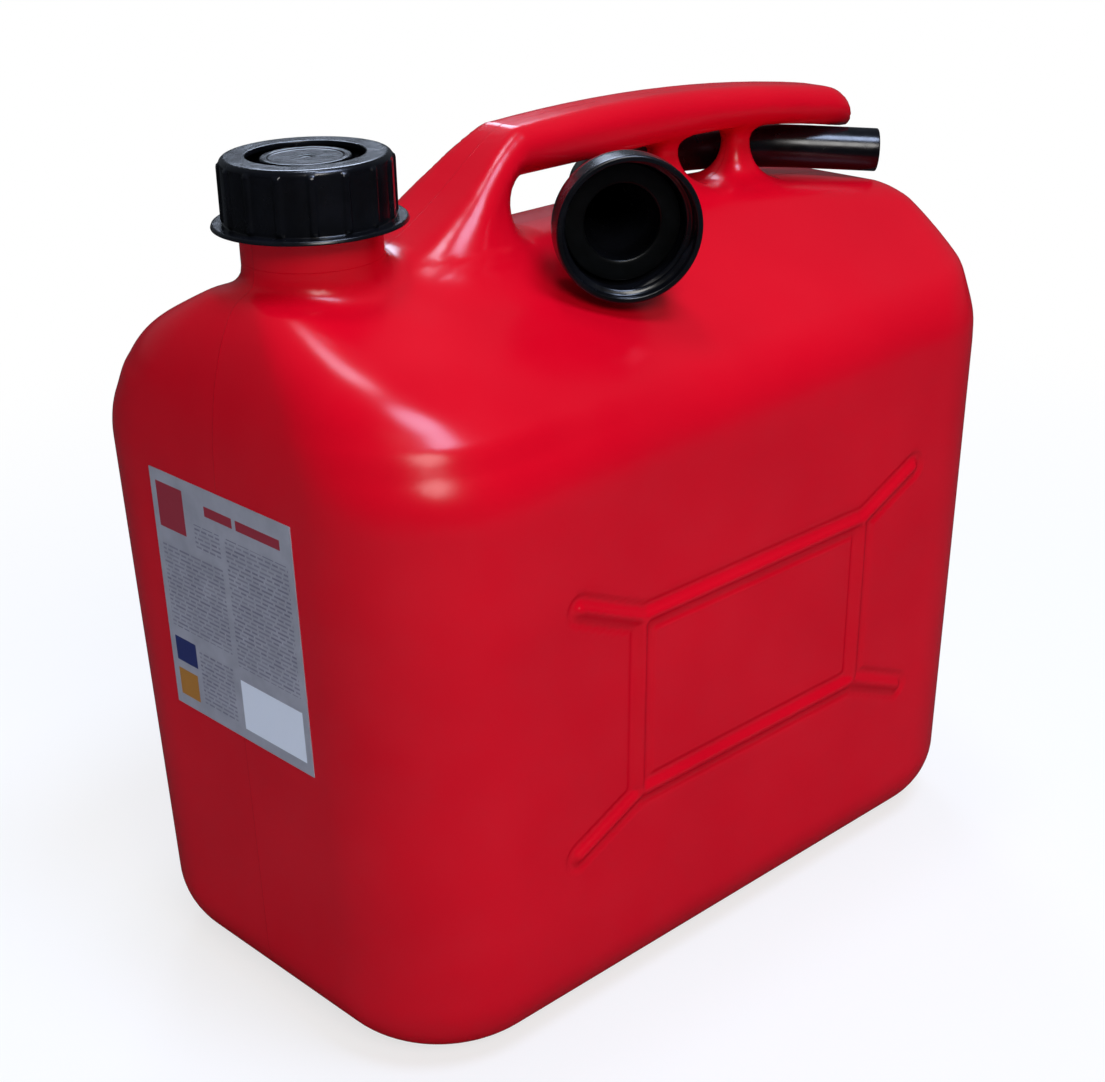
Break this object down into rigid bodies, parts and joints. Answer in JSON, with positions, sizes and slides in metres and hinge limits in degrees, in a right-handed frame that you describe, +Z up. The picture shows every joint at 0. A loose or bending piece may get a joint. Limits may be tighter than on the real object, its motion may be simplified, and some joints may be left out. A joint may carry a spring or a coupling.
{
  "type": "safety gas can",
  "caption": "Blow-moulded fuel container with a ridge grip, a press-and-turn screw cap and a flexible pouring spout stowed through the grip.",
  "frame": {"origin": "middle of the base, on the surface the can stands on", "axes": "+Z up, -X towards the end with the neck, -Y towards the long side that the spout's collar points out over"},
  "size_m": [0.3067, 0.182, 0.2909],
  "materials": {
    "tank_plastic": "red high-density polyethylene, satin gloss as it leaves the blow mould",
    "cap_plastic": "black moulded polypropylene, low sheen",
    "spout_plastic": "black flexible polyethylene, slightly glossy",
    "seal_rubber": "black fuel-resistant rubber",
    "label_film": "silver-grey label film"
  },
  "bodies": {
    "tank": {"tank_shell": "tank_plastic", "grip_handle": "tank_plastic", "neck": "tank_plastic", "data_label": "label_film"},
    "cap_riser": {"cap_seal": "seal_rubber"},
    "cap_inner": {"cap_core": "cap_plastic"},
    "cap_outer": {"cap_shell": "cap_plastic"},
    "spout": {"spout_tube": "spout_plastic", "spout_washer": "seal_rubber"},
    "collar": {"spout_collar": "cap_plastic"}
  },
  "joints": [
    {"name": "cap_rise", "type": "slide", "parent": "tank", "child": "cap_riser", "axis": [0, 0, 1], "range_m": [0, 0.02]},
    {"name": "cap_turn", "type": "hinge", "parent": "cap_riser", "child": "cap_inner", "pos_m": [-0.1064, 0, 0.2827], "axis": [0, 0, 1], "range_deg": [0, 1600]},
    {"name": "cap_press", "type": "slide", "parent": "cap_inner", "child": "cap_outer", "axis": [0, 0, -1], "range_m": [0, 0.0016], "stiffness_N_per_m": 1500, "springref_m": -0.002},
    {"name": "spout_draw", "type": "hinge", "parent": "tank", "child": "spout", "pos_m": [0.0724, -0.06449, 0.25524], "axis": [0.054, -0.0461, 0.9975], "range_deg": [0, 140]},
    {"name": "collar_turn", "type": "hinge", "parent": "spout", "child": "collar", "pos_m": [-0.0189, -0.04859, 0.26092], "axis": [-0.5314, -0.847, -0.0103], "continuous": true}
  ],
  "couplings": [
    {"joint": "cap_turn", "follows": "cap_rise", "rad_per_m": 1396.3}
  ]
}
